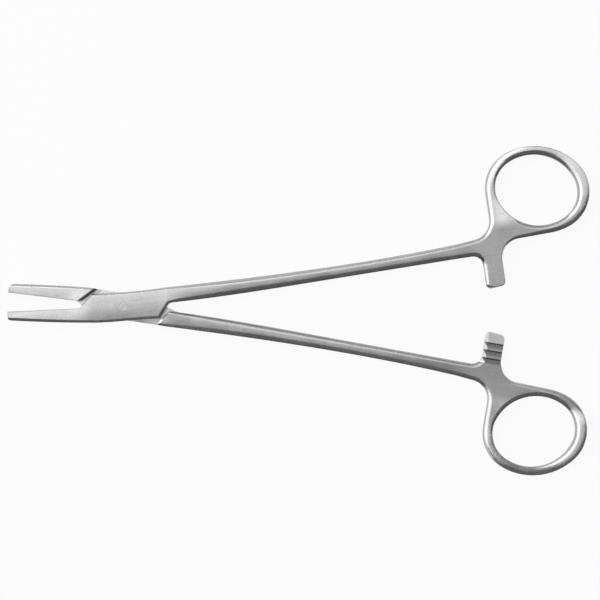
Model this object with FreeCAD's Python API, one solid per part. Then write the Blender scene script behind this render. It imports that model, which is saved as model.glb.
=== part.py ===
# Needle holder with a box lock, straight jaws, ring handles and a three-step ratchet.
#
# Two forged arms cross in a box lock. The box arm has a slot through its thickness, the tongue
# arm passes through that slot as a thin tongue, and a pin, ground flush, joins the two walls of
# the box and is the axis that the tongue turns on.
#
# Lengths are millimetres and angles are degrees. The pin stands along Z at X = 0, Y = 0, and the
# underside of the box is Z = 0. The jaws point to -X and the finger rings to +X.
#
# Both arms start from one forging, drawn with its jaw below the X axis and its shank above it.
# Drawn like this the face of the jaw lies along the X axis, which is where it is when the jaws
# are closed. The tongue arm is the same forging turned over.
import FreeCAD, Part
import math
import os

Vector = FreeCAD.Vector
PIVOT = Vector(0, 0, 0)
X_AXIS = Vector(1, 0, 0)
Z_AXIS = Vector(0, 0, 1)

# Box lock
lock_thickness = 5.4
lock_edge_round = 0.8
box_bottom_at_end = 4.33       # from the pin to the box's lower edge, at its shank end
box_bottom_at_pin = 4.48
box_belly_place = 6.5          # where the lower edge bulges most, from the pin towards the jaws
box_arm_belly = 4.68
tongue_arm_belly = 4.5
box_top_at_pin = 4.4           # from the pin to the box's upper edge
box_top_at_jaw = 6.05          # the same at the box's jaw end, measured square to the shank
jaw_shoulder_reach = 14.15     # where the tongue arm's jaw shoulder meets the jaw face
jaw_shoulder_angle = 43.0
wall_set_back = 1.2            # from there back to the end of the box wall beside the jaw face
wall_foot_round = 0.8          # between the end of that wall and the jaw face
shank_shoulder_reach = 13.88   # where the tongue arm's shank shoulder crosses the X axis
shank_shoulder_angle = 55.8
shoulder_gap = 0.14            # between box wall and shoulder when the jaws are closed
tongue_thickness = 2.2
tongue_side_gap = 0.04         # above and below the tongue, inside the slot
tongue_end_gap = 0.1           # between the tongue's edges and the slot's ends
tongue_set_in = 0.1            # of the tongue's edges, behind the edges of jaw and shank
tongue_waist_radius = 4.15     # of the tongue's round edges beside the pin
jaw_heel_drop = 1.2            # of the tongue's lower edge below the jaw face, at the box wall's end
jaw_heel_lead = 0.75           # from the jaw shoulder to where that edge leaves the jaw face
shank_heel_rise = 0.95         # of its upper edge above the shank's, at the shank shoulder
shank_heel_lead = 2.8          # from there to where that edge leaves the shank
crotch_round = 2.0             # between the end of the box wall and the box arm's shank
shank_corner_round = 1.5       # of the tongue arm's shank, which closes against that round
pin_radius = 1.4
pin_running_gap = 0.04

# Jaws
jaw_length = 36.0
jaw_root_width = 4.45
jaw_middle_width = 3.74
jaw_tip_width = 2.72
jaw_middle_thickness = 4.1
jaw_tip_thickness = 2.7
jaw_edge_round = 0.9
jaw_face_gap = 0.02            # half the gap that is left when the jaws are closed
box_arm_tip_round = 1.0
tongue_arm_tip_round = 2.0

# Shanks, in a frame turned so that X runs along the shank, with +Y on the outer side
box_arm_tilt = 5.91            # from the jaw face to the shank
tongue_arm_tilt = 2.79
shank_length = 105.0           # from the pin to the start of the handle
shank_places = (0.14, 0.57, 0.81)    # of neck, waist and swell, as shares of the way to the handle
shank_root_outer = 3.9
shank_neck_outer = 3.45
shank_waist_outer = 2.72
shank_swell_outer = 3.05
shank_end_outer = 3.85
shank_root_inner = 0.95
shank_neck_inner = 1.3
shank_waist_inner = 1.1
shank_swell_inner = 0.84
shank_end_inner = 0.62
shank_neck_thickness = 4.8
shank_waist_thickness = 4.3
shank_edge_round = 1.3

# Handle: yoke, finger ring and ratchet bar, one plate with eased edges. Each eased edge is made of
# a few narrow flats. It reaches equally far down everywhere, and in over the face as given here.
handle_thickness = 4.2
edge_flats = 5
handle_edge_depth = 1.25
handle_edge_width = 1.25       # beside the shank
ring_edge_width = 1.3          # round the ring and down its neck
yoke_edge_width = 0.7
bar_front_edge_width = 1.3     # on the bar's side that looks to the jaws
bar_edge_width = 0.3           # on its other sides
ring_centre_from_shank = 26.7
ring_centre_height = 16.9
ring_hole_half_length = 12.9
ring_hole_half_width = 10.9
ring_hole_end_round = 9.3
ring_hole_tilt = -21.0
ring_half_length = 16.2
ring_half_width = 13.5
ring_end_round = 12.2
ring_tilt = -17.0
ring_shift = 0.3               # of the ring's outline, away from the shank, against its hole
neck_foot_height = 5.05
neck_foot_from_shank = 11.35
neck_round = 6.0
yoke_under_height = 2.65
yoke_round = 6.0
bar_from_shank = 6.95
bar_width = 6.1
bar_reach = 11.4               # how far the bar reaches inwards from the shank's own line
bar_end_slant = 0.6
bar_end_round = 1.5
bar_root_round = 3.0

# Ratchet
tooth_count = 3
tooth_pitch = 2.4
tooth_depth = 0.65
tooth_crest = 0.8
lead_length = 3.4              # from the bar's end to the first locking face
lead_drop = 0.35
bar_gap = 0.1                  # between the tips of the two rows of teeth
bar_bevel_width = 1.3
bar_bevel_depth = 0.7

# Straight steps, from section to section, that follow the curved edges of box, jaw and shank
root_steps = 6
jaw_steps = 4
shank_steps = 12

# Travel
rest_opening = 9.4             # between the jaw faces as the instrument lies
box_arm_turn = 2.55            # the box arm's share of that opening
further_opening = 28.0         # from there until the tongue meets the slot's ends
stop_margin = 0.3

mid_z = lock_thickness / 2
jaw_root = jaw_shoulder_reach - wall_set_back
ring_centre = Vector(shank_length + ring_centre_from_shank, ring_centre_height, 0)
ramp_length = tooth_pitch - tooth_crest
bar_step = lead_length + (tooth_count - 1) * tooth_pitch + ramp_length - bar_reach
lap = 1.0                      # how far forms of one piece run into each other, and cuts past it


# Outlines and solids

def rounded_edges(points, radii, closed=True):
    """Edges of an outline through the points, with each corner rounded by its radius."""
    corners = []
    for index, point in enumerate(points):
        back = (points[index - 1] - point).normalize()
        ahead = (points[(index + 1) % len(points)] - point).normalize()
        half_angle = back.getAngle(ahead) / 2
        inward = (back + ahead).normalize()
        reach = radii[index] / math.tan(half_angle)
        nearest = point + inward * (radii[index] / math.sin(half_angle) - radii[index])
        corners.append((point + back * reach, nearest, point + ahead * reach))
    edges = []
    for index, (start, nearest, end) in enumerate(corners):
        if radii[index] > 0:
            edges.append(Part.Arc(start, nearest, end).toShape())
        following = corners[(index + 1) % len(corners)][0]
        last = index == len(corners) - 1
        if (closed or not last) and (following - end).Length > 1e-6:
            edges.append(Part.LineSegment(end, following).toShape())
    return edges


def plan_prism(corners, low=-lap, high=lock_thickness + lap):
    """Upright prism between two heights on an outline seen from above."""
    points = [Vector(corner[0], corner[1], low) for corner in corners]
    radii = [corner[2] if len(corner) > 2 else 0 for corner in corners]
    return Part.Face(Part.Wire(rounded_edges(points, radii))).extrude(Vector(0, 0, high - low))


def eased_edge(width, depth):
    """How far in and how far down the flats of an eased edge end, from the face to the side."""
    angles = [math.pi / 2 * index / edge_flats for index in range(edge_flats + 1)]
    return [(width * (1 - math.sin(angle)), depth * (1 - math.cos(angle))) for angle in angles]


def section(x, inner, outer, thickness, edge_round):
    """Cross-section of an arm at x: a rectangle with eased corners."""
    low, high = mid_z - thickness / 2, mid_z + thickness / 2
    edge = eased_edge(edge_round, edge_round)
    side = 1 if outer > inner else -1
    points = [Vector(x, outer - side * inset, high - depth) for inset, depth in edge]
    points += [Vector(x, outer - side * inset, low + depth) for inset, depth in reversed(edge)]
    points += [Vector(x, inner + side * inset, low + depth) for inset, depth in edge]
    points += [Vector(x, inner + side * inset, high - depth) for inset, depth in reversed(edge)]
    return Part.makePolygon(points + points[:1])


def corner_piece(corner, one_way, other_way, radius, low, high):
    """Prism of all that lies between a corner and a round in it, and on some way past the corner."""
    half_angle = one_way.getAngle(other_way) / 2
    inward = (one_way + other_way).normalize()
    reach = radius / math.tan(half_angle)
    start, end = corner + one_way * reach, corner + other_way * reach
    nearest = corner + inward * (radius / math.sin(half_angle) - radius)
    beyond = inward * -reach
    edges = [Part.Arc(start, nearest, end).toShape()]
    for points in ((end, end + beyond), (end + beyond, start + beyond), (start + beyond, start)):
        edges.append(Part.makeLine(*points))
    piece = Part.Face(Part.Wire(edges)).extrude(Vector(0, 0, high - low))
    piece.translate(Vector(0, 0, low))
    return piece


def loft(sections):
    return Part.makeLoft(sections, True, True)


def smooth_loft(stations, steps):
    """Loft in even steps, on smooth curves through stations of x and the four sizes of a section."""
    places = [station[0] for station in stations]
    curves = []
    for sizes in list(zip(*stations))[1:]:
        curve = Part.BSplineCurve()
        curve.interpolate(Points=[Vector(*pair, 0) for pair in zip(places, sizes)], Parameters=places)
        curves.append(curve)
    stops = [places[0] + (places[-1] - places[0]) * step / steps for step in range(steps + 1)]
    return loft([section(stop, *(curve.value(stop).y for curve in curves)) for stop in stops])


def turned(shape, degrees):
    """Copy of the shape, turned about the pin."""
    copy = shape.copy()
    copy.rotate(PIVOT, Z_AXIS, degrees)
    return copy


def turned_over(shape):
    """Copy of the shape, turned upside down about the line of the closed jaw faces."""
    copy = shape.copy()
    copy.rotate(Vector(0, 0, mid_z), X_AXIS, 180)
    return copy


def turned_point(point, degrees):
    return FreeCAD.Rotation(Z_AXIS, degrees).multVec(point)


def crossing(start, end, other_start, other_end):
    """Point where the line through the first two points meets the line through the others."""
    along, other_along = end - start, other_end - other_start
    share = (other_start - start).cross(other_along).z / along.cross(other_along).z
    return start + along * share


# The lock's lines, seen from above with the jaws closed and the box arm's jaw below the X axis.

def jaw_shoulder(y, gap=0.0):
    """X of the tongue arm's jaw shoulder at height y, or of a line beside it at that gap."""
    angle = math.radians(jaw_shoulder_angle)
    return -jaw_shoulder_reach + y / math.tan(angle) + gap / math.sin(angle)


def shank_shoulder(y, gap=0.0):
    angle = math.radians(shank_shoulder_angle)
    return shank_shoulder_reach + y / math.tan(angle) - gap / math.sin(angle)


def shank_shoulder_line(gap=0.0):
    """Two points of the tongue arm's shank shoulder, or of a line beside it, from above to below."""
    return Vector(shank_shoulder(0, gap), 0, 0), Vector(shank_shoulder(-1, gap), -1, 0)


def waist_corner(left, right, side):
    """Where the edges from two points meet that touch the tongue's round waist, above (1) or
    below (-1) the pin."""
    touch_left = math.atan2(side * left.y, left.x) - math.acos(tongue_waist_radius / left.Length)
    touch_right = math.atan2(side * right.y, right.x) + math.acos(tongue_waist_radius / right.Length)
    middle = (touch_left + touch_right) / 2
    reach = tongue_waist_radius / math.cos(touch_left - middle)
    return Vector(reach * math.cos(middle), side * reach * math.sin(middle), 0)


def tongue_corners():
    """The tongue's corners, anticlockwise from where its lower edge leaves the jaw face."""
    foot = Vector(jaw_shoulder(jaw_face_gap) - jaw_heel_lead, jaw_face_gap, 0)
    jaw_heel = Vector(-jaw_root, -jaw_heel_drop, 0)
    inner_edge = [Vector(x, shank_root_inner, 0) for x in (0, 1)]
    outer_edge = [Vector(0, tongue_set_in - box_top_at_pin, 0),
                  Vector(shank_shoulder_reach, tongue_set_in - shank_root_outer, 0)]
    shank_high, shank_low = [
        crossing(*[turned_point(point, -tongue_arm_tilt) for point in edge], *shank_shoulder_line())
        for edge in (inner_edge, outer_edge)
    ]
    leaving = shank_high + turned_point(Vector(shank_heel_lead, 0, 0), -tongue_arm_tilt)
    shank_heel = Vector(shank_shoulder_reach, shank_high.y + shank_heel_rise, 0)
    jaw_high = Vector(jaw_shoulder(jaw_root_width - tongue_set_in), jaw_root_width - tongue_set_in, 0)
    lower_waist = waist_corner(jaw_heel, shank_low, -1)
    upper_waist = waist_corner(jaw_high, shank_heel, 1)
    return foot, jaw_heel, lower_waist, shank_low, leaving, shank_heel, upper_waist, jaw_high


# The forging

def jaw_bar(belly, tip_round):
    """Jaw and lower half of the box, before the jaw face is cut."""
    end = shank_shoulder(lap) + lap
    block = smooth_loft([
        (-jaw_root, lap, -jaw_root_width, lock_thickness, lock_edge_round),
        (-box_belly_place, lap, -belly, lock_thickness, lock_edge_round),
        (0, lap, -box_bottom_at_pin, lock_thickness, lock_edge_round),
        (end, lap, -box_bottom_at_end, lock_thickness, lock_edge_round),
    ], root_steps)
    jaw = smooth_loft([
        (-jaw_length, lap, -jaw_tip_width, jaw_tip_thickness, jaw_edge_round),
        (-(jaw_root + jaw_length) / 2, lap, -jaw_middle_width, jaw_middle_thickness, jaw_edge_round),
        (-jaw_root, lap, -jaw_root_width, lock_thickness, lock_edge_round),
    ], jaw_steps)
    slope = 2 * (jaw_root_width - jaw_tip_width) / (jaw_length - jaw_root)
    nose = plan_prism([
        (-jaw_length, 2 * lap),
        (-jaw_length, -jaw_tip_width, tip_round),
        (-jaw_root, -jaw_tip_width - slope * (jaw_length - jaw_root)),
        (-jaw_root, 2 * lap),
    ])
    return block.fuse(jaw.common(nose))


def shank_bar():
    """Shank and upper half of the box, along its own X axis, up to the handle."""
    start = shank_shoulder_reach
    root = smooth_loft([
        (-jaw_shoulder_reach, -shank_root_inner, box_top_at_jaw, lock_thickness, lock_edge_round),
        (0, -shank_root_inner, box_top_at_pin, lock_thickness, lock_edge_round),
        (start, -shank_root_inner, shank_root_outer, lock_thickness, lock_edge_round),
    ], root_steps)
    neck, waist, swell = [start + share * (shank_length - start) for share in shank_places]
    shank = smooth_loft([
        (start, -shank_root_inner, shank_root_outer, lock_thickness, lock_edge_round),
        (neck, -shank_neck_inner, shank_neck_outer, shank_neck_thickness, shank_edge_round),
        (waist, -shank_waist_inner, shank_waist_outer, shank_waist_thickness, shank_edge_round),
        (swell, -shank_swell_inner, shank_swell_outer, handle_thickness, shank_edge_round),
        (shank_length, -shank_end_inner, shank_end_outer, handle_thickness, handle_edge_width),
    ], shank_steps)
    return root.fuse(shank)


def oval(centre, half_length, half_width, end_round, tilt, grow=0.0):
    """Four arcs, anticlockwise from the right end, as centre, radius and the angles of both ends."""
    side_round = (((half_length - end_round) ** 2 + half_width ** 2 - end_round ** 2)
                  / (2 * (half_width - end_round)))
    end_away, side_away = half_length - end_round, side_round - half_width
    joint = math.degrees(math.atan2(side_away, end_away))
    arcs = []
    for away, radius, low, high in (
        (Vector(end_away, 0, 0), end_round, -joint, joint),
        (Vector(0, -side_away, 0), side_round, joint, 180 - joint),
        (Vector(-end_away, 0, 0), end_round, 180 - joint, 180 + joint),
        (Vector(0, side_away, 0), side_round, 180 + joint, 360 - joint),
    ):
        arcs.append((centre + turned_point(away, tilt), radius + grow, low + tilt, high + tilt))
    return arcs


def arc_edge(centre, radius, low, high):
    points = [centre + turned_point(Vector(radius, 0, 0), angle) for angle in (low, (low + high) / 2, high)]
    return Part.Arc(*points).toShape()


def ring_hole(inset):
    """Edge of the ring's hole, where it is that much larger than at mid height."""
    arcs = oval(ring_centre, ring_hole_half_length, ring_hole_half_width, ring_hole_end_round,
                ring_hole_tilt, inset * ring_edge_width)
    return Part.Wire([arc_edge(*arc) for arc in arcs])


def handle_outline(inset):
    """Outer edge of yoke, ring and ratchet bar, with each side drawn in by its own edge width times
    inset. It starts before the handle, where the shank takes over."""
    before = shank_length - lap
    right_end, top, left_end, bottom = oval(
        ring_centre + Vector(ring_shift, 0, 0), ring_half_length, ring_half_width, ring_end_round,
        ring_tilt, -inset * ring_edge_width)
    neck = left_end[0].x - left_end[1]
    outer = [Vector(shank_length, shank_end_outer - inset * handle_edge_width, 0),
             Vector(shank_length + neck_foot_from_shank, neck_foot_height - inset * handle_edge_width, 0)]
    neck_side = [Vector(neck, 0, 0), Vector(neck, 1, 0)]
    inner = inset * handle_edge_width - shank_end_inner
    bar_left = shank_length + bar_from_shank + inset * bar_front_edge_width
    bar_right = shank_length + bar_from_shank + bar_width - inset * bar_edge_width
    bar_end = [Vector(shank_length + bar_from_shank, inset * bar_edge_width - bar_reach, 0),
               Vector(shank_length + bar_from_shank + bar_width,
                      inset * bar_edge_width + bar_end_slant - bar_reach, 0)]
    yoke_corner = Vector(bar_right, yoke_under_height + inset * yoke_edge_width, 0)
    to_bottom = bottom[0] - yoke_corner
    yoke_way = math.degrees(math.atan2(to_bottom.y, to_bottom.x) - math.asin(bottom[1] / to_bottom.Length))
    touching = bottom[0] + turned_point(Vector(bottom[1], 0, 0), yoke_way - 90)
    edges = rounded_edges(
        [
            Vector(neck, left_end[0].y, 0),
            crossing(*outer, *neck_side),
            crossing(*outer, Vector(before, 0, 0), Vector(before, 1, 0)),
            Vector(before, inner, 0),
            Vector(bar_left, inner, 0),
            crossing(*bar_end, Vector(bar_left, 0, 0), Vector(bar_left, 1, 0)),
            crossing(*bar_end, Vector(bar_right, 0, 0), Vector(bar_right, 1, 0)),
            yoke_corner,
            touching,
        ],
        [
            0,
            neck_round + inset * ring_edge_width,
            0,
            0,
            bar_root_round + inset * handle_edge_width,
            bar_end_round - inset * bar_edge_width,
            bar_end_round - inset * bar_edge_width,
            yoke_round + inset * yoke_edge_width,
            0,
        ],
        closed=False,
    )
    edges.append(arc_edge(bottom[0], bottom[1], yoke_way - 90, bottom[3] - 360))
    edges.append(arc_edge(*right_end))
    edges.append(arc_edge(*top))
    edges.append(arc_edge(left_end[0], left_end[1], left_end[2], 180))
    return Part.Wire(edges)


def eased_plate(outline):
    """Plate between the outlines that are drawn in at its two faces."""
    half = handle_thickness / 2
    levels = [(inset, mid_z - half + depth) for inset, depth in eased_edge(1, handle_edge_depth)]
    levels += [(inset, mid_z + half - depth) for inset, depth in reversed(eased_edge(1, handle_edge_depth))]
    wires = []
    for inset, height in levels:
        wire = outline(inset)
        wire.translate(Vector(0, 0, height))
        wires.append(wire)
    return loft(wires)


def handle_plate():
    """Yoke, ring and ratchet bar as one plate with eased edges, along the shank's X axis."""
    end = shank_length
    taken_by_shank = plan_prism([
        (end - 2 * lap, -2 * end),
        (end, -2 * end),
        (end, 2 * end),
        (end - 2 * lap, 2 * end),
    ])
    return eased_plate(handle_outline).cut(eased_plate(ring_hole)).cut(taken_by_shank)


def ratchet_cut():
    """What is cut from the underside of a bar: half its thickness, its teeth and a bevel."""
    left = shank_length + bar_from_shank - lap
    width = bar_width + 2 * lap
    crest = mid_z + bar_gap / 2
    end = -bar_reach

    def across(profile):
        """Prism across the bar on points (y, height above the crests)."""
        points = [Vector(left, y, crest + height) for y, height in profile]
        return Part.Face(Part.makePolygon(points + points[:1])).extrude(Vector(width, 0, 0))

    cut = across([(end - lap, 0), (bar_step, 0), (bar_step, -lock_thickness),
                  (end - lap, -lock_thickness)])
    lead_slope = lead_drop / lead_length
    cut = cut.fuse(across([(end - lap, -lap), (end - lap, lead_drop + lead_slope * lap),
                           (end + lead_length, 0), (end + lead_length, -lap)]))
    for index in range(tooth_count):
        locking_face = end + lead_length + index * tooth_pitch
        ramp_end = locking_face + ramp_length
        cut = cut.fuse(across([(locking_face, -lap), (locking_face, tooth_depth), (ramp_end, 0),
                               (ramp_end, -lap)]))
    bevel_slope = bar_bevel_depth / bar_bevel_width
    bevel_points = [
        Vector(left, end - lap, crest + bar_bevel_depth + bevel_slope * lap),
        Vector(left + lap + bar_bevel_width + lap, end - lap, crest - bevel_slope * lap),
        Vector(left, end - lap, crest - bevel_slope * lap),
    ]
    bevel = Part.Face(Part.makePolygon(bevel_points + bevel_points[:1]))
    return cut.fuse(bevel.extrude(Vector(0, bar_step - end + lap, 0)))


def shank_and_handle():
    return shank_bar().fuse(handle_plate().cut(ratchet_cut()))


# The arms

def jaw_face_cut():
    """All that lies above the box arm's jaw face, up to the end of the box wall."""
    angle = math.radians(jaw_shoulder_angle)
    square_part = (wall_set_back - shoulder_gap / math.sin(angle)) * math.tan(angle)
    high = 2 * box_top_at_jaw
    return plan_prism([
        (-2 * jaw_length, -jaw_face_gap),
        (-jaw_root, -jaw_face_gap, wall_foot_round),
        (-jaw_root, square_part),
        (jaw_shoulder(high, shoulder_gap), high),
        (-2 * jaw_length, high),
    ])


def slot_cut():
    """The slot through the box, between the two blocks whose sides stop the tongue."""
    foot, jaw_heel, lower_waist, shank_low, leaving, shank_heel, upper_waist, jaw_high = tongue_corners()
    side_gap = Vector(0, tongue_end_gap, 0)
    swing = -(rest_opening + further_opening + stop_margin)
    upper = (upper_waist + side_gap, shank_heel + side_gap)
    lower = (jaw_heel - side_gap, lower_waist - side_gap)
    upper_open = [turned_point(point + side_gap, swing) for point in (jaw_high, upper_waist)]
    lower_open = [turned_point(point - side_gap, swing) for point in (shank_low, lower_waist)]
    far = jaw_shoulder_reach + shank_shoulder_reach
    high = far / 2
    corners = [
        crossing(shank_heel + side_gap, leaving + side_gap, Vector(far, 0, 0), Vector(far, 1, 0)),
        shank_heel + side_gap,
        crossing(*upper, *upper_open),
        crossing(*upper_open, Vector(0, high, 0), Vector(1, high, 0)),
        Vector(-far, high, 0),
        crossing(foot - side_gap, jaw_heel - side_gap, Vector(-far, 0, 0), Vector(-far, 1, 0)),
        jaw_heel - side_gap,
        crossing(*lower, *lower_open),
        crossing(*lower_open, Vector(0, -high, 0), Vector(1, -high, 0)),
        Vector(far, -high, 0),
    ]
    half = tongue_thickness / 2 + tongue_side_gap
    return plan_prism([(corner.x, corner.y) for corner in corners], mid_z - half, mid_z + half)


def pin_shape(radius):
    return Part.makeCylinder(radius, lock_thickness, PIVOT)


def box_arm():
    low = -2 * box_bottom_at_pin
    high = 2 * lap
    beyond_wall = plan_prism([
        (shank_shoulder(low, shoulder_gap), low),
        (2 * shank_length, low),
        (2 * shank_length, high),
        (shank_shoulder(high, shoulder_gap), high),
    ])
    lower = jaw_bar(box_arm_belly, box_arm_tip_round).cut(beyond_wall)
    upper = turned(shank_and_handle(), box_arm_tilt)
    inner_edge = [turned_point(Vector(x, -shank_root_inner, 0), box_arm_tilt) for x in (0, 1)]
    wall_end = shank_shoulder_line(shoulder_gap)
    crotch = corner_piece(
        crossing(*inner_edge, *wall_end), inner_edge[1] - inner_edge[0],
        (wall_end[1] - wall_end[0]).normalize(), crotch_round, lock_edge_round,
        lock_thickness - lock_edge_round)
    arm = lower.fuse(upper).fuse(crotch).cut(jaw_face_cut()).removeSplitter()
    return arm.cut(slot_cut()).cut(pin_shape(pin_radius))


def tongue_arm():
    side = 2 * box_top_at_jaw
    jaw = turned_over(jaw_bar(tongue_arm_belly, tongue_arm_tip_round)).common(plan_prism([
        (-2 * jaw_length, jaw_face_gap),
        (jaw_shoulder(jaw_face_gap), jaw_face_gap),
        (jaw_shoulder(side), side),
        (-2 * jaw_length, side),
    ]))
    shank = turned_over(turned(shank_and_handle(), tongue_arm_tilt)).common(plan_prism([
        (shank_shoulder(-side), -side),
        (2 * shank_length, -shank_length),
        (2 * shank_length, side),
        (shank_shoulder(side), side),
    ]))
    foot, jaw_heel, lower_waist, shank_low, leaving, shank_heel, upper_waist, jaw_high = tongue_corners()
    along = turned_point(X_AXIS, -tongue_arm_tilt)
    down = (shank_shoulder_line()[1] - shank_shoulder_line()[0]).normalize()
    shank = shank.cut(corner_piece(
        leaving - along * shank_heel_lead, along, down, shank_corner_round, -lap, lock_thickness + lap))
    half = tongue_thickness / 2
    tongue = plan_prism([
        (foot.x, foot.y),
        (jaw_heel.x, jaw_heel.y),
        (lower_waist.x, lower_waist.y, tongue_waist_radius),
        (shank_low.x, shank_low.y),
        (shank_low.x + lap, shank_low.y + lap / 4),
        (leaving.x, leaving.y - lap),
        (leaving.x, leaving.y),
        (shank_heel.x, shank_heel.y),
        (upper_waist.x, upper_waist.y, tongue_waist_radius),
        (jaw_high.x, jaw_high.y),
        (jaw_high.x - lap, jaw_high.y),
    ], mid_z - half, mid_z + half)
    arm = jaw.fuse(shank).fuse(tongue).removeSplitter()
    return arm.cut(pin_shape(pin_radius + pin_running_gap))


# Each piece where it lies with the jaws part open
pieces = {
    "box_arm": turned(box_arm(), box_arm_turn),
    "tongue_arm": turned(tongue_arm(), box_arm_turn - rest_opening),
    "lock_pin": pin_shape(pin_radius),
}

os.makedirs("parts", exist_ok=True)
for name, shape in pieces.items():
    shape.exportStep("parts/" + name + ".step")
    print(name, "solids", len(shape.Solids), "valid", shape.isValid(), "volume", round(shape.Volume, 1))
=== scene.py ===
# %% [markdown]
# # A needle holder in satin steel
#
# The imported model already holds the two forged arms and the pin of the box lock, in metres, with
# the pin standing along Z at X = 0, Y = 0. This script dresses them: it gives the steel its
# finishes, lays the instrument on a pale floor under soft light, and looks at it from straight
# above, as the photograph does. The size of the CAD model is measured before anything is added.

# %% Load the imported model
import math

import bpy
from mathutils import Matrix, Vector


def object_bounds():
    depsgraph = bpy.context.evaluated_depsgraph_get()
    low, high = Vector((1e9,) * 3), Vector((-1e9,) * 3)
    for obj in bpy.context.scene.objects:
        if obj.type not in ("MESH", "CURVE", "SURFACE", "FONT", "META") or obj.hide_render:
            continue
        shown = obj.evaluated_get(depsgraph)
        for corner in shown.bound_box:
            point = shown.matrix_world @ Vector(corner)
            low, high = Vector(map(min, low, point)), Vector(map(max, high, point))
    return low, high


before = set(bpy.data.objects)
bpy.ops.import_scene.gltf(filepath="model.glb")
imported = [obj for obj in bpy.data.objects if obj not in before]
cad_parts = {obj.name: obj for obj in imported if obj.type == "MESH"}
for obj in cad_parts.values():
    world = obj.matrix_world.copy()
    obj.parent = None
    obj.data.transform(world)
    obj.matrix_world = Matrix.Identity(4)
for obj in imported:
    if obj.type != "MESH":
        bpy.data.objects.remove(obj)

cad_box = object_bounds()
MM = 0.001

# %% [markdown]
# ## The camera
#
# The photograph was taken from straight above. One of its 600 pixels is 0.31 mm at the height of
# the shanks, so the whole frame is 186 mm wide there. A long lens from 0.7 m keeps the two rings
# from leaning outwards, while the far walls of their holes still show a little. The camera could
# be turned to look at a target, but one that points straight down needs no turning at all.

# %% Camera
PIXEL = 0.31 * MM
FRAME_PIXELS = 600
FRAME_CENTRE = Vector((54.56, 2.0, 2.7)) * MM
CAMERA_DISTANCE = 0.7
SENSOR_WIDTH = 36.0


def put(name, data, place):
    """A new object in the scene, at that place."""
    thing = bpy.data.objects.new(name, data)
    thing.location = place
    bpy.context.scene.collection.objects.link(thing)
    return thing


def photo_camera():
    lens = bpy.data.cameras.new("photo_camera")
    lens.type = "PERSP"
    lens.sensor_width = SENSOR_WIDTH
    lens.lens = SENSOR_WIDTH * CAMERA_DISTANCE / (PIXEL * FRAME_PIXELS)
    above = FRAME_CENTRE + Vector((0, 0, CAMERA_DISTANCE))
    bpy.context.scene.camera = put("photo_camera", lens, above)
    print("camera lens", round(lens.lens, 1), "mm")


photo_camera()

# %% [markdown]
# ## Shader maths
#
# A finish is a sum of masks: grain here, grinding lines there, a darker hairline round a pin.
# Wiring each Math node by hand hides that sum, so a small class wraps a socket and lets Python's
# own operators add the nodes. Colours and vectors have methods of their own, because a Math node
# would turn a colour grey.

# %% A socket that does arithmetic
class Signal:
    """One output of a node that Python can do sums with."""

    def __init__(self, recipe, socket):
        self.recipe = recipe
        self.socket = socket

    def maths(self, operation, *others):
        return self.recipe.add("ShaderNodeMath", {"operation": operation}, [self, *others])

    def __add__(self, other): return self.maths("ADD", other)
    def __radd__(self, other): return self.maths("ADD", other)
    def __sub__(self, other): return self.maths("SUBTRACT", other)
    def __rsub__(self, other): return self.recipe.number_first("SUBTRACT", other, self)
    def __mul__(self, other): return self.maths("MULTIPLY", other)
    def __rmul__(self, other): return self.maths("MULTIPLY", other)
    def __truediv__(self, other): return self.maths("DIVIDE", other)
    def __rtruediv__(self, other): return self.recipe.number_first("DIVIDE", other, self)
    def __neg__(self): return self.maths("MULTIPLY", -1.0)
    def __abs__(self): return self.maths("ABSOLUTE")
    def least(self, other): return self.maths("MINIMUM", other)
    def most(self, other): return self.maths("MAXIMUM", other)

    def step(self, low, high):
        """0 below low, 1 above high, and a smooth rise between them. With low above high, it falls."""
        rising = low < high
        ends = (low, high) if rising else (high, low)
        return self.recipe.add(
            "ShaderNodeMapRange", {"interpolation_type": "SMOOTHSTEP"},
            {"Value": self, "From Min": ends[0], "From Max": ends[1],
             "To Min": 0.0 if rising else 1.0, "To Max": 1.0 if rising else 0.0})


print("a socket can add, subtract, multiply, divide, compare and step")

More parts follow.
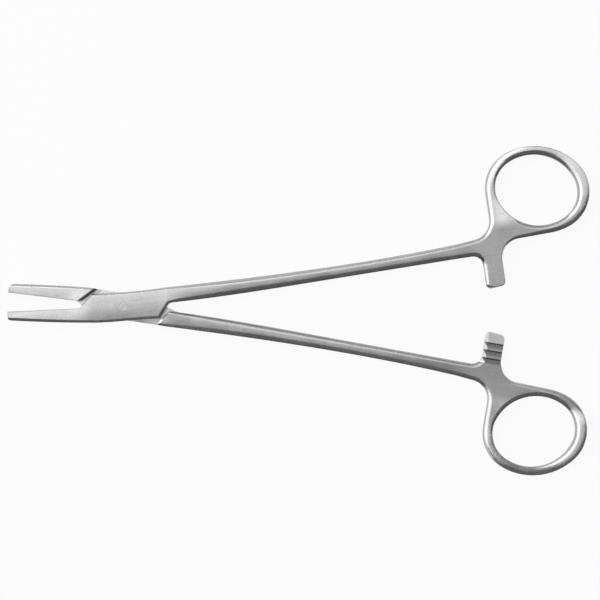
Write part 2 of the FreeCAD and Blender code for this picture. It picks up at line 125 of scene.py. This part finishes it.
# %% The nodes of one material
class Recipe:
    """The nodes of one material, or of the world."""

    def __init__(self, tree):
        self.tree = tree
        tree.nodes.clear()

    def add(self, kind, settings=None, inputs=None, output=0):
        """A node of that type, with its settings and then its socket values or links."""
        node = self.tree.nodes.new(kind)
        for name, value in (settings or {}).items():
            setattr(node, name, value)
        if not isinstance(inputs, dict):
            inputs = dict(enumerate(inputs or []))
        for name, value in inputs.items():
            if isinstance(value, Signal):
                self.tree.links.new(value.socket, node.inputs[name])
            else:
                node.inputs[name].default_value = value
        return Signal(self, node.outputs[output] if len(node.outputs) else None)

    def number_first(self, operation, number, signal):
        return self.add("ShaderNodeMath", {"operation": operation}, [number, signal])

    # A Mix node keeps a pair of sockets for each kind of value: 4 and 5 are the vectors, with the
    # result at 1, and 6 and 7 are the colours, with the result at 2.
    def blend(self, factor, low, high):
        """Vector between two vectors."""
        return self.add("ShaderNodeMix", {"data_type": "VECTOR"},
                        {"Factor": factor, 4: low, 5: high}, output=1)

    def mix(self, factor, low, high):
        """Colour between two colours."""
        return self.add("ShaderNodeMix", {"data_type": "RGBA"},
                        {"Factor": factor, 6: low, 7: high}, output=2)

    def vector(self, x, y, z):
        return self.add("ShaderNodeCombineXYZ", None, [x, y, z])

    def parts(self, vector):
        """X, Y and Z of a vector."""
        split = self.add("ShaderNodeSeparateXYZ", None, [vector]).socket.node
        return [Signal(self, split.outputs[axis]) for axis in range(3)]

    def vector_maths(self, operation, *vectors):
        return self.add("ShaderNodeVectorMath", {"operation": operation}, vectors)

    def turned_back(self, vector, degrees):
        """A vector turned about Z by minus that angle."""
        return self.add("ShaderNodeVectorRotate", {"rotation_type": "Z_AXIS"},
                        {"Vector": vector, "Angle": -math.radians(degrees)})

    def coordinates(self, output):
        """Object is the place in metres in the CAD frame, and Normal the normal in that frame."""
        return self.add("ShaderNodeTexCoord", output=output)

    def noise(self, vector, scale, detail=2.0, roughness=0.5):
        """Noise that is 0 on average."""
        settings = {"Vector": vector, "Scale": scale, "Detail": detail, "Roughness": roughness}
        return self.add("ShaderNodeTexNoise", None, settings) - 0.5


def new_material(name):
    material = bpy.data.materials.new(name)
    material.use_nodes = True
    return material, Recipe(material.node_tree)


print("shader maths ready")

# %% [markdown]
# ## Floor
#
# The instrument lies on a seamless white sweep, which the photograph shows as pure white. A plane
# lit by the lamps alone would come out pale grey, so most of what the camera and the steel see of
# it is its own glow. The rest is light from the lamps, and that part keeps a soft shadow.

# %% Floor
FLOOR_HALF = 3.0
FLOOR_GAP = 0.02 * MM
GLOW_SHARE = 0.93


def grey(level):
    return (level, level, level, 1.0)


FLOOR_COLOUR = grey(0.9)
GLOW_COLOUR = grey(1.0)


def white_sweep():
    material, recipe = new_material("white_sweep")
    ray = recipe.add("ShaderNodeLightPath").socket.node
    camera, glossy, through = [
        Signal(recipe, ray.outputs[name])
        for name in ("Is Camera Ray", "Is Glossy Ray", "Is Transmission Ray")
    ]
    lit = recipe.add("ShaderNodeBsdfDiffuse", None, {"Color": FLOOR_COLOUR})
    white = recipe.add("ShaderNodeEmission", None, {"Color": GLOW_COLOUR, "Strength": 1.0})
    seen = camera.most(glossy).most(through)
    surface = recipe.add("ShaderNodeMixShader", None, [seen * GLOW_SHARE, lit, white])
    recipe.add("ShaderNodeOutputMaterial", None, {"Surface": surface})
    return material


def pale_floor():
    mesh = bpy.data.meshes.new("floor")
    corners = [(x * FLOOR_HALF, y * FLOOR_HALF, 0)
               for x, y in ((-1, -1), (1, -1), (1, 1), (-1, 1))]
    mesh.from_pydata(corners, [], [(0, 1, 2, 3)])
    mesh.materials.append(white_sweep())
    floor = put("floor", mesh, (0, 0, cad_box[0][2] - FLOOR_GAP))
    print("floor at", round(floor.location.z / MM, 2), "mm")


pale_floor()

# %% [markdown]
# ## Light
#
# In the photograph every face that looks left is nearly white, faces that look up the picture are
# mid grey, and faces that look down it or to the right are dark. The flat tops fade from light at
# the jaws to mid grey at the rings. So a big soft lamp stands on the left, another hangs above
# and towards the upper left, a weak one stands behind, and the room itself is darkest at the
# lower right. A mirror ball photograph of a studio could do the same, but lamps need no picture.

# %% Lamps
AIM = Vector((0.05, 0.0, 0.0))


def soft_lamp(name, place, size, radiance):
    """A rectangular lamp that faces the instrument. Seen in the steel, it is as bright as its
    radiance."""
    lamp = bpy.data.lights.new(name, "AREA")
    lamp.shape = "RECTANGLE"
    lamp.size, lamp.size_y = size
    lamp.energy = radiance * math.pi * size[0] * size[1]
    holder = put(name, lamp, place)
    holder.rotation_euler = (AIM - Vector(place)).to_track_quat("-Z", "Y").to_euler()
    holder.visible_camera = False
    print(name, "at", place)


soft_lamp("left_lamp", place=(-0.80, 0.12, 0.50), size=(1.3, 1.6), radiance=1.45)
soft_lamp("top_lamp", place=(-0.25, 0.45, 1.15), size=(1.3, 1.2), radiance=0.88)
soft_lamp("back_lamp", place=(0.15, 0.95, 0.35), size=(1.2, 0.4), radiance=0.25)

# %% A room that is darker on one side
ROOM_DARK = 0.13
ROOM_LIGHT = 0.32
LIGHT_SIDE = (-0.4, 0.9)       # the way, in X and Y, in which the room gets lighter
ROOM_FADE = (-0.5, 0.9)


def room():
    world = bpy.data.worlds.new("studio_room")
    bpy.context.scene.world = world
    world.use_nodes = True
    recipe = Recipe(world.node_tree)
    x, y, _ = recipe.parts(recipe.coordinates("Generated"))
    lighter = (x * LIGHT_SIDE[0] + y * LIGHT_SIDE[1]).step(*ROOM_FADE)
    level = ROOM_DARK + lighter * (ROOM_LIGHT - ROOM_DARK)
    background = recipe.add("ShaderNodeBackground", None,
                            {"Color": recipe.vector(level, level, level), "Strength": 1.0})
    recipe.add("ShaderNodeOutputWorld", None, {"Surface": background})
    print("room from", ROOM_DARK, "to", ROOM_LIGHT)


room()

# %% [markdown]
# ## Satin steel
#
# The forgings are stainless steel, ground, and then given a fine satin finish that keeps glare
# out of the surgeon's eyes. Close up it is a matt grain of a few hundredths of a millimetre over
# soft marks that run along the arm, where the belt went. The eased edges are polished smoother by
# handling. An image texture would be the quick way, but noise in the piece's own coordinates is as
# fine as needed on every face. Four patterns are added up three times, each time with other
# weights: for the tone, for the roughness and for the height.

# %% Patterns in the steel
MARK_FINENESS = (45.0, 2100.0, 2100.0)    # along the marks, across them and into the steel
GRAIN_FINENESS = 2300.0
CLOUD_FINENESS = 130.0
POLISHED = (0.999, 0.94)       # how upright the normal is where polish starts and where it is full

TONE = {"marks": 0.9, "grain": 2.2, "clouds": 0.7, "polish": 0.1}
ROUGHNESS = {"clouds": 0.16, "grain": 0.2, "polish": -0.06}
HEIGHT = {"grain": 0.02, "marks": 0.01, "clouds": 0.06}    # in millimetres
MIDDLE_TONE = 0.5
MIDDLE_ROUGHNESS = 0.33


def patterns_of(recipe, place, upright, along):
    """Three noises, and the polish of the eased edges."""
    stretched = recipe.vector_maths("MULTIPLY", recipe.turned_back(place, along), MARK_FINENESS)
    return {
        "marks": recipe.noise(stretched, 1.0, detail=3.0),
        "grain": recipe.noise(place, GRAIN_FINENESS, detail=4.0, roughness=0.7),
        "clouds": recipe.noise(place, CLOUD_FINENESS),
        "polish": upright.step(*POLISHED),
    }


def weighed(patterns, weights):
    return sum(patterns[name] * weight for name, weight in weights.items())


print("tone is made of", TONE)

# %% [markdown]
# ## One recipe for all the steel
#
# Arms and pin are of one steel. Three separate materials could be written out, but one recipe
# serves them all, and each piece hands over a function that adds what only that piece has. Steep
# sides are painted darker than the ground faces, a painted shade that keeps them from mirroring
# the bright floor. The normal is turned to the world before the Bump node gets it, since it is
# written in the piece's own frame.

# %% The shared finish
STEEL = grey(0.75)
STEEL_SHADE = grey(0.55)
# painted shade: steep sides are darkened towards this grey so that they don't mirror the bright floor
PAINTED_SIDE_SHADE = grey(0.34)
# colour of the dark joint line round the pin, the jaw lines, and the painted shade in seams and on
# tooth slopes
DARK_LINES_AND_SHADE = grey(0.05)
STEEP = (0.95, 0.45)           # how upright the normal is where a side starts and where it is full
SIDE_SHADE_SHARE = 0.85


def satin_steel(name, along, dress):
    """Ground and blasted steel. along is the direction of the grinding marks in degrees."""
    material, recipe = new_material(name)
    place, normal = recipe.coordinates("Object"), recipe.coordinates("Normal")
    upright = abs(recipe.parts(normal)[2])
    patterns = patterns_of(recipe, place, upright, along)
    parts = {
        "tone": weighed(patterns, TONE) + MIDDLE_TONE,
        "rough": weighed(patterns, ROUGHNESS) + MIDDLE_ROUGHNESS,
        "height": weighed(patterns, HEIGHT),
        "normal": normal,
    }
    dress(recipe, place, parts)
    colour = recipe.mix(parts["tone"], STEEL_SHADE, STEEL)
    # painted shade on the steep sides
    colour = recipe.mix(upright.step(*STEEP) * SIDE_SHADE_SHARE, colour, PAINTED_SIDE_SHADE)
    # dark lines, and painted shade in the lock's seams and on the tooth slopes
    colour = recipe.mix(parts["dark"], colour, DARK_LINES_AND_SHADE)
    facing = recipe.add(
        "ShaderNodeVectorTransform",
        {"vector_type": "NORMAL", "convert_from": "OBJECT", "convert_to": "WORLD"}, [parts["normal"]])
    bump = recipe.add("ShaderNodeBump", None,
                      {"Strength": 1.0, "Distance": MM, "Height": parts["height"], "Normal": facing})
    shader = recipe.add("ShaderNodeBsdfPrincipled", None,
                        {"Base Color": colour, "Metallic": 1.0, "Roughness": parts["rough"],
                         "Normal": bump})
    recipe.add("ShaderNodeOutputMaterial", None, {"Surface": shader})
    return material


print("steel from", STEEL_SHADE[0], "to", STEEL[0])

# %% [markdown]
# ## The lock pin
#
# The end of the pin is ground flush with the box, so all that shows of it is a hairline ring. It
# could be a groove in the mesh, but the real one is thinner than a hair, so a mask on the
# distance from the pin's axis darkens the steel of both pieces instead.

# %% Pin
PIN_RADIUS = 1.4
HAIRLINE = (0.07, 0.02)        # from the pin's edge: where the ring starts and where it is darkest
HAIRLINE_SHADE = 0.35


def pin_hairline(recipe, place):
    x, y, _ = recipe.parts(place)
    from_axis = (x * x + y * y).maths("SQRT") / MM
    return abs(from_axis - PIN_RADIUS).step(*HAIRLINE) * HAIRLINE_SHADE


def dress_pin(recipe, place, parts):
    parts["dark"] = pin_hairline(recipe, place)


def wear(node, material):
    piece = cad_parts[node]
    piece.data.materials.clear()
    piece.data.materials.append(material)
    print(node, "wears", material.name)


wear("lock_pin", satin_steel("satin_steel_pin", along=40.0, dress=dress_pin))

# %% [markdown]
# ## Where a point lies along an arm
#
# Both arms come from one forging: jaw below the X axis, shank above it, and the tongue arm turned
# over. So each place on an arm is first brought back to that drawing, and everything after this
# is written once for both. The jaw's frame has X along the closed jaw faces, and the shank's frame
# is turned to lie along the shank. Both are in millimetres.

# %% Frames of the forging
JAW_TURN = {"box_arm": 2.55, "tongue_arm": -6.85}
SHANK_TILT = {"box_arm": 5.91, "tongue_arm": 2.79}
TURNED_OVER = {"box_arm": 1, "tongue_arm": -1}     # the sign that Y and Z have in the drawing


def jaw_frame(recipe, place, arm):
    side = TURNED_OVER[arm] / MM
    return recipe.vector_maths("MULTIPLY", recipe.turned_back(place, JAW_TURN[arm]),
                               (1 / MM, side, side))


print("arms turned by", JAW_TURN)

# %% [markdown]
# ## Crowned faces
#
# The CAD model's broad faces are flat, but hand-ground ones are slightly crowned: light at one
# side of the shank and darker at the other. A crown could be lofted in CAD, with many more faces.
# A height in the bump bends the light in the same way and leaves the mesh alone. The crown of a
# shank is about 0.3 mm high, which is one pixel of the photograph, so the outline hardly needs it.

# %% Crowns
JAW_CROWN = (-2.0, 3.0, 28.0)  # a crown's ridge, reach and radius
BOX_CROWN = (1.0, 6.0, 45.0)
SHANK_CROWN = {"box_arm": (1.6, 3.2, 16.0), "tongue_arm": (0.4, 3.2, 16.0)}
JAW_FADE = (-6.0, -26.0)
BOX_SPAN = (-14.0, 18.0, 5.0)  # low end, high end, and how soft both are
SHANK_START = (12.0, 24.0)
SHANK_STOP = (116.0, 90.0)


def crown(across, ridge, reach, radius):
    """Height of a crown of that radius, and 0 beyond its reach."""
    inside = abs(across - ridge).least(reach)
    return (reach * reach - inside * inside) * (0.5 / radius)


def between(value, low, high, soft):
    """1 between the two values and 0 beyond, with soft ends."""
    return value.step(low - soft, low + soft) * value.step(high + soft, high - soft)


def arm_crowns(recipe, jaw, shank, arm):
    x, y, _ = recipe.parts(jaw)
    along, across, _ = recipe.parts(shank)
    jaw_part = crown(y, *JAW_CROWN) * x.step(*JAW_FADE)
    box_part = crown(y, *BOX_CROWN) * between(x, *BOX_SPAN)
    in_shank = along.step(*SHANK_START) * along.step(*SHANK_STOP)
    return jaw_part + box_part + crown(across, *SHANK_CROWN[arm]) * in_shank


print("crowns of the shanks", SHANK_CROWN)

# %% [markdown]
# ## Finger ring and yoke
#
# The ring is rounder in section than the plate it was forged from, and the yoke between ring and
# shank is a little dished. Both are heights again: the ring's crown follows an oval through the
# middle of its band.

# %% Ring crown
RING_CENTRE = (131.8, 16.9)
RING_TILT = -19.0
RING_REACH = (14.7, 12.3)      # from there to the middle of the band, along and across
RING_CROWN = (-1.0, 3.2, 16.0)
RING_FADE = (-0.5, 0.1)
YOKE_CENTRE = (114.0, 3.0)
YOKE_REACH = 14.0
YOKE_RISE = -0.09


def handle_crowns(recipe, shank):
    along, across, _ = recipe.parts(shank)
    from_ring = recipe.vector_maths("SUBTRACT", shank, (*RING_CENTRE, 0.0))
    u, v, _ = recipe.parts(recipe.turned_back(from_ring, RING_TILT))
    u, v = u / RING_REACH[0], v / RING_REACH[1]
    from_middle = ((u * u + v * v).maths("SQRT") - 1.0) * sum(RING_REACH) / 2
    ring = crown(from_middle, *RING_CROWN) * v.step(*RING_FADE)
    dx, dy = along - YOKE_CENTRE[0], across - YOKE_CENTRE[1]
    share = (1.0 - (dx * dx + dy * dy) / YOKE_REACH ** 2).most(0.0)
    return ring + share * share * YOKE_RISE


print("ring centre", RING_CENTRE, "mm from the pin, in the shank's frame")

# %% [markdown]
# ## Faces that lean
#
# A grinder doesn't leave every edge as evenly round as the CAD model has it. The ring's sides lean
# towards the jaws, the front edge of the ratchet bar is nearly flat, and the lower edges of both
# arms are chamfers more than rounds. Heights could say this too, but here the wanted direction is
# known, so it is written as the normal itself. The outline stays as it is.

# %% Leaning ring and bar
RING_ALONG = (112.0, 120.0)
RING_ACROSS = (6.0, 10.0)
RING_UPRIGHT = (0.2, 0.8)
RING_FLANK = (5.0, 12.0)       # from the ring's centre, towards the jaws and away from them
RING_LEAN = {"box_arm": (0.16, 0.18), "tongue_arm": (0.07, 0.22)}    # of the near and far flank
LEAN_ALL_ROUND = (0.04, 0.03)
RING_FLATTENING = (0.9, 0.95)
BAR_ALONG = (106.0, 121.0, 1.0)
BAR_ACROSS = (-0.5, -2.5)
BAR_FLATTENING = {"box_arm": 0.4, "tongue_arm": 0.75}


def rounded(recipe, shank, normal, arm):
    """The normal on the ring's sides and on the front edge of the bar."""
    along, across, _ = recipe.parts(shank)
    x, y, z = recipe.parts(normal)
    on_ring = along.step(*RING_ALONG) * across.step(*RING_ACROSS) * abs(z).step(*RING_UPRIGHT)
    on_bar = between(along, *BAR_ALONG) * across.step(*BAR_ACROSS)
    from_centre = along - RING_CENTRE[0]
    near, far = RING_LEAN[arm]
    lean = (-from_centre).step(*RING_FLANK) * near + from_centre.step(*RING_FLANK) * far
    x = x - on_ring * (x.most(0.0) * RING_FLATTENING[0] + lean + LEAN_ALL_ROUND[0])
    x = x - on_bar * x.least(0.0) * BAR_FLATTENING[arm]
    y = y - on_ring * (y.most(0.0) * RING_FLATTENING[1] + LEAN_ALL_ROUND[1])
    return x, y, z


print("near and far sides of the rings lean by", RING_LEAN)

# %% Chamfered lower edges
CHAMFER = (0.8, -0.45, 0.8)    # the share of X that stays, then Y itself, then Z up or down
FACING_DOWN = (-0.06, -0.13)
DOWN_CONE = 0.6                # how much more a normal has to face down than sideways
OFF_THE_SIDES = (0.1, 0.2)


def leaning(recipe, shank, normal, arm):
    """The normal as hand grinding left it."""
    x, y, z = rounded(recipe, shank, normal, arm)
    chamfer = recipe.vector(x * CHAMFER[0], CHAMFER[1], z.maths("SIGN") * CHAMFER[2])
    on_chamfer = (y + abs(x) * DOWN_CONE).step(*FACING_DOWN) * abs(z).step(*OFF_THE_SIDES)
    return recipe.blend(on_chamfer, recipe.vector_maths("NORMALIZE", recipe.vector(x, y, z)),
                        recipe.vector_maths("NORMALIZE", chamfer))


print("chamfers face", CHAMFER)

# %% [markdown]
# ## Jaw faces
#
# The faces that grip the needle are cut with a fine diamond pattern. It is far too fine for the
# CAD model, so two crossing rows of ridges go into the height, only where a point lies in the face
# itself.

# %% Diamonds
DIAMOND_PITCH = 0.7
DIAMOND_DEPTH = 0.3            # as a share of half the pitch
FACE_SKIN = (0.06, 0.04)       # how near the closed jaws' plane a point of the face lies
FACE_START = (-13.0, -13.4)


def ridges(value):
    return value.maths("PINGPONG", DIAMOND_PITCH / 2)


def diamonds(recipe, jaw):
    x, y, z = recipe.parts(jaw)
    in_face = abs(y).step(*FACE_SKIN) * x.step(*FACE_START)
    return in_face * (ridges(x + z) + ridges(x - z)) * DIAMOND_DEPTH


print("diamonds every", DIAMOND_PITCH, "mm")

# %% [markdown]
# ## Edges of the lock
#
# The end of the box wall beside the shanks is eased with a stone, and so is the shoulder that it
# meets. A bevel in the mesh would do, but the CAD model has these faces sharp so that they close
# on each other, and a height near the edge rounds it for the light alone.

# %% Eased edges
WALL_END = (13.71, math.radians(55.8))    # where that end crosses the jaw faces, and its slant
WALL_EASING = 0.8
WALL_EASED = (1.2, 0.4)
SHOULDER_GAP = 0.14
SHOULDER_EASING = 0.5
SHOULDER_SHARE = 0.7
SHOULDER_EASED = (1.9, 2.6)
SHANK_SIDE = (4.0, 8.0)        # from the pin towards the shanks


def beyond(x, y, foot, slant):
    """How far a point is beyond the line that crosses the X axis at foot, towards the shanks."""
    return (x - foot - y / math.tan(slant)) * math.sin(slant)


def eased(distance, width):
    """Height of an edge eased over that width, at that distance from it."""
    share = 1.0 - (distance / width).most(0.0).least(1.0)
    return share * share * (-0.5 * width)


def lock_edges(recipe, jaw, arm):
    x, y, _ = recipe.parts(jaw)
    if arm == "box_arm":
        return eased(-beyond(x, y, *WALL_END), WALL_EASING) * y.step(*WALL_EASED)
    from_shoulder = beyond(x, -y, *WALL_END) - SHOULDER_GAP
    at_shoulder = y.step(*SHOULDER_EASED) * x.step(*SHANK_SIDE)
    return eased(from_shoulder, SHOULDER_EASING) * SHOULDER_SHARE * at_shoulder


print("wall end eased over", WALL_EASING, "mm")

# %% [markdown]
# ## Faces that stay level
#
# One belt ran over the whole broad face of an arm, and the photograph shows it as even. In the CAD
# model the jaws' faces slope a little as they get thinner, and on the box arm a shallow groove and
# a small ledge mark where the parts of the forging meet. The mesh isn't touched, so the normal is
# turned upright there.

# %% Level faces
MIDDLE_HEIGHT = 2.7
JAW_START = (-11.5, -12.5)
BROAD_FACE = (0.99, 0.996)     # how upright the normal of a broad face is
JAW_LEVELLING = 0.85
GROOVE = ((2.0, 16.0, 0.2), (-0.3, 2.2, 0.1))      # along the jaws' frame, and across it
LEDGE = ((-14.6, -12.4, 0.1), (-3.2, 0.2, 0.1))
WALL_MARGIN = (0.0, -0.05)
NEAR_BROAD_FACE = (2.3, 2.4)   # from the middle height


def within(x, y, zone):
    return between(x, *zone[0]) * between(y, *zone[1])


def levelled(recipe, jaw, normal, arm):
    x, y, z = recipe.parts(jaw)
    upward = recipe.parts(normal)[2]
    level = x.step(*JAW_START) * abs(upward).step(*BROAD_FACE) * JAW_LEVELLING
    if arm == "box_arm":
        groove = within(x, y, GROOVE) * beyond(x, y, *WALL_END).step(*WALL_MARGIN)
        near_face = abs(z - MIDDLE_HEIGHT).step(*NEAR_BROAD_FACE)
        level = level.most(groove.most(within(x, y, LEDGE)) * near_face)
    return recipe.blend(level, normal, recipe.vector(0.0, 0.0, upward.maths("SIGN")))


print("jaws levelled by", JAW_LEVELLING)

# %% [markdown]
# ## Painted shade in the seams of the lock
#
# Where the box wall meets the shoulders of the tongue arm, light hardly gets into the seam, so
# painted shade darkens the steel there. The jaws carry a fine dark line along their inner edges
# and round their tips too. These are masks on the distance from lines that the forging's drawing
# gives.

# %% Painted shade in the seams
JAW_SHOULDER = (-14.15, math.radians(43.0))    # where it crosses the jaw faces, and its slant
# painted shade along the seams: where each band lies, its width and its darkness
BESIDE_JAW = (0.2, 7.0, 0.2)
BOX_SEAM_SHADE = (0.4, 0.6)          # width and darkness
HEEL_SEAM_SHADE = (0.7, 0.85)
HEEL_SHADE = (1.7, 0.3)
CREVICE = (0.1, 0.6, 0.1)
CREVICE_SPAN = (-2.6, -0.4, 0.4)
CREVICE_SHADE = 0.6
SEAM_START = -0.3
SEAM_SOFTNESS = 0.1


# a band of painted shade beside a seam
def seam(distance, width, darkness):
    return between(distance, SEAM_START, width, SEAM_SOFTNESS) * darkness


# painted shade beside the jaw's heel, at the box wall's end and in the crevice of the tongue arm
def lock_seam_shade(recipe, jaw, arm):
    x, y, _ = recipe.parts(jaw)
    y = y * TURNED_OVER[arm]
    from_heel = beyond(x, y, *JAW_SHOULDER)
    beside_jaw = between(y, *BESIDE_JAW)
    if arm == "box_arm":
        return seam(from_heel, *BOX_SEAM_SHADE) * beside_jaw
    crevice = between(beyond(x, y, *WALL_END), *CREVICE) * between(y, *CREVICE_SPAN)
    heel = seam(from_heel, *HEEL_SEAM_SHADE).most(seam(from_heel, *HEEL_SHADE)) * beside_jaw
    return heel.most(crevice * x.step(*SHANK_SIDE) * CREVICE_SHADE)


print("seam of the heel is", HEEL_SEAM_SHADE[0], "mm wide")

# %% Lines along the jaws
TIP = -36.0
TIP_LINE = (0.5, 0.1)
INNER_LINE = (0.4, 0.15)
INNER_LINE_START = (-14.0, -16.0)
LINE_DARKNESS = 0.3


def jaw_lines(recipe, jaw):
    x, y, _ = recipe.parts(jaw)
    inner = abs(y).step(*INNER_LINE) * x.step(*INNER_LINE_START)
    return inner.most((x - TIP).step(*TIP_LINE)) * LINE_DARKNESS


print("jaws end at", TIP, "mm")

# %% [markdown]
# ## Ratchet teeth
#
# The teeth are in the CAD model, three on each bar. Those of the lower bar look up, and in the
# photograph their sloping faces lie in the shade of the crests. Lamps as big as these fill in so
# small a shade, and smaller ones would give the rest of the steel hard glints. So a mask on the
# normal finds the slopes and darkens them.

# %% Shade on the teeth
TEETH = ((110.0, 120.0, 0.5), (-11.5, -1.0, 0.2))  # along the shank, and across it
SLOPE = (0.2, 0.6, 0.05)
SLOPE_DARKNESS = 0.5


def tooth_slopes(recipe, shank, normal):
    along, across, _ = recipe.parts(shank)
    sideways = abs(recipe.parts(normal)[1])
    return within(along, across, TEETH) * between(sideways, *SLOPE) * SLOPE_DARKNESS


print("slopes darkened by", SLOPE_DARKNESS)

# %% [markdown]
# ## Dressing the arms
#
# Now each arm gets everything above: heights are added up, dark masks are laid over each other by
# the greater of them, and the normal is levelled before it leans. Two materials could share one
# recipe with the arm as a mask, but an arm's angles are plain numbers, so each has its own.

# %% Arms
BELT_DIRECTION = {"box_arm": 8.4, "tongue_arm": -9.7}      # in degrees


def dress_arm(arm):
    def dress(recipe, place, parts):
        jaw = jaw_frame(recipe, place, arm)
        shank = recipe.turned_back(jaw, SHANK_TILT[arm])
        normal = parts["normal"]
        parts["height"] += (arm_crowns(recipe, jaw, shank, arm) + handle_crowns(recipe, shank)
                            + diamonds(recipe, jaw) + lock_edges(recipe, jaw, arm))
        parts["dark"] = (pin_hairline(recipe, place).most(lock_seam_shade(recipe, jaw, arm))
                         .most(jaw_lines(recipe, jaw)).most(tooth_slopes(recipe, shank, normal)))
        parts["normal"] = leaning(recipe, shank, levelled(recipe, jaw, normal, arm), arm)
    return dress


for arm, along in BELT_DIRECTION.items():
    wear(arm, satin_steel("satin_steel_" + arm, along, dress_arm(arm)))

# %% [markdown]
# ## Finish
#
# The render uses the Standard view transform.

# %% Finish
bpy.context.scene.view_settings.view_transform = "Standard"
